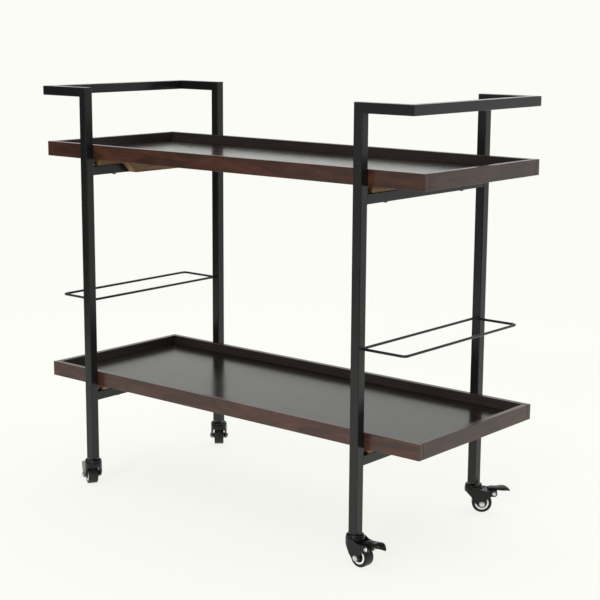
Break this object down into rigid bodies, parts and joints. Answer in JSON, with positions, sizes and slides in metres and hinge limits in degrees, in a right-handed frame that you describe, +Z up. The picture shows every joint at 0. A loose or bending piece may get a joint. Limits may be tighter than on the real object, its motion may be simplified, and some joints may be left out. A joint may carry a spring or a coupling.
{
  "type": "serving cart",
  "caption": "Narrow two-tray serving cart: wooden trays with raised rims on square-tube steel end frames with push handles and wire rails, on swivel casters.",
  "frame": {"origin": "on the floor, under the middle of the overall box; the cart's own mid plane is at y = -12.4 mm, because the casters trail to different sides", "axes": "+X along the cart towards the end with the brakes, -Y the front, +Z up"},
  "size_m": [0.9652, 0.4606, 0.8382],
  "materials": {
    "black_steel": "satin black powder coat on square steel tube and wire",
    "walnut_rim": "dark walnut stain under semi-gloss lacquer, edges slightly worn",
    "tray_panel": "near-black stained veneer with fine grain under glossy lacquer",
    "natural_wood": "unstained, lightly sealed",
    "zinc": "bright zinc plate",
    "caster_black": "glossy black coating on pressed steel",
    "black_plastic": "moulded, semi-gloss black",
    "tyre": "smooth black polyurethane, satin",
    "chrome_ring": "moulded hub with a bright ring round each face"
  },
  "bodies": {
    "cart_frame": {"right_front_leg": "black_steel", "right_front_handle_arm": "black_steel", "right_rear_leg": "black_steel", "right_rear_handle_arm": "black_steel", "right_handle_grip": "black_steel", "right_upper_cross_bar": "black_steel", "right_lower_cross_bar": "black_steel", "right_wire_rail": "black_steel", "left_rear_leg": "black_steel", "left_rear_handle_arm": "black_steel", "left_front_leg": "black_steel", "left_front_handle_arm": "black_steel", "left_handle_grip": "black_steel", "left_upper_cross_bar": "black_steel", "left_lower_cross_bar": "black_steel", "left_wire_rail": "black_steel", "upper_tray_front_rim": "walnut_rim", "upper_tray_rear_rim": "walnut_rim", "upper_tray_left_rim": "walnut_rim", "upper_tray_right_rim": "walnut_rim", "upper_tray_panel": "tray_panel", "upper_tray_left_bearer": "natural_wood", "upper_tray_right_bearer": "natural_wood", "lower_tray_front_rim": "walnut_rim", "lower_tray_rear_rim": "walnut_rim", "lower_tray_left_rim": "walnut_rim", "lower_tray_right_rim": "walnut_rim", "lower_tray_panel": "tray_panel", "lower_tray_left_bearer": "natural_wood", "lower_tray_right_bearer": "natural_wood", "front_right_leg_plug": "black_plastic", "front_right_caster_stem": "zinc", "rear_right_leg_plug": "black_plastic", "rear_right_caster_stem": "zinc", "front_left_leg_plug": "black_plastic", "front_left_caster_stem": "zinc", "rear_left_leg_plug": "black_plastic", "rear_left_caster_stem": "zinc"},
    "front_right_swivel_fork": {"front_right_caster_fork": "caster_black", "front_right_axle_bolt": "zinc", "front_right_pedal_pin": "zinc"},
    "front_right_wheel": {"front_right_tyre": "tyre", "front_right_wheel_hub": "chrome_ring"},
    "front_right_pedal": {"front_right_brake_pedal": "black_plastic"},
    "rear_right_swivel_fork": {"rear_right_caster_fork": "caster_black", "rear_right_axle_bolt": "zinc", "rear_right_pedal_pin": "zinc"},
    "rear_right_wheel": {"rear_right_tyre": "tyre", "rear_right_wheel_hub": "chrome_ring"},
    "rear_right_pedal": {"rear_right_brake_pedal": "black_plastic"},
    "front_left_swivel_fork": {"front_left_caster_fork": "caster_black", "front_left_axle_bolt": "zinc"},
    "front_left_wheel": {"front_left_tyre": "tyre", "front_left_wheel_hub": "chrome_ring"},
    "rear_left_swivel_fork": {"rear_left_caster_fork": "caster_black", "rear_left_axle_bolt": "zinc"},
    "rear_left_wheel": {"rear_left_tyre": "tyre", "rear_left_wheel_hub": "chrome_ring"}
  },
  "joints": [
    {"name": "front_right_swivel", "type": "hinge", "parent": "cart_frame", "child": "front_right_swivel_fork", "pos_m": [0.3515, -0.2074, 0.05], "axis": [0, 0, 1], "continuous": true},
    {"name": "front_right_roll", "type": "hinge", "parent": "front_right_swivel_fork", "child": "front_right_wheel", "pos_m": [0.36846, -0.20858, 0.02], "axis": [0.0698, 0.9976, 0], "continuous": true},
    {"name": "front_right_brake", "type": "hinge", "parent": "front_right_swivel_fork", "child": "front_right_pedal", "pos_m": [0.3924, -0.21026, 0.042], "axis": [0.0698, 0.9976, 0], "range_deg": [0, 14]},
    {"name": "rear_right_swivel", "type": "hinge", "parent": "cart_frame", "child": "rear_right_swivel_fork", "pos_m": [0.3515, 0.1825, 0.05], "axis": [0, 0, 1], "continuous": true},
    {"name": "rear_right_roll", "type": "hinge", "parent": "rear_right_swivel_fork", "child": "rear_right_wheel", "pos_m": [0.36525, 0.19249, 0.02], "axis": [-0.5878, 0.809, 0], "continuous": true},
    {"name": "rear_right_brake", "type": "hinge", "parent": "rear_right_swivel_fork", "child": "rear_right_pedal", "pos_m": [0.38467, 0.2066, 0.042], "axis": [-0.5878, 0.809, 0], "range_deg": [0, 14]},
    {"name": "front_left_swivel", "type": "hinge", "parent": "cart_frame", "child": "front_left_swivel_fork", "pos_m": [-0.3515, -0.2074, 0.05], "axis": [0, 0, 1], "continuous": true},
    {"name": "front_left_roll", "type": "hinge", "parent": "front_left_swivel_fork", "child": "front_left_wheel", "pos_m": [-0.36622, -0.1989, 0.02], "axis": [-0.5, -0.866, 0], "continuous": true},
    {"name": "rear_left_swivel", "type": "hinge", "parent": "cart_frame", "child": "rear_left_swivel_fork", "pos_m": [-0.3515, 0.1825, 0.05], "axis": [0, 0, 1], "continuous": true},
    {"name": "rear_left_roll", "type": "hinge", "parent": "rear_left_swivel_fork", "child": "rear_left_wheel", "pos_m": [-0.36265, 0.19533, 0.02], "axis": [-0.7547, -0.6561, 0], "continuous": true}
  ]
}
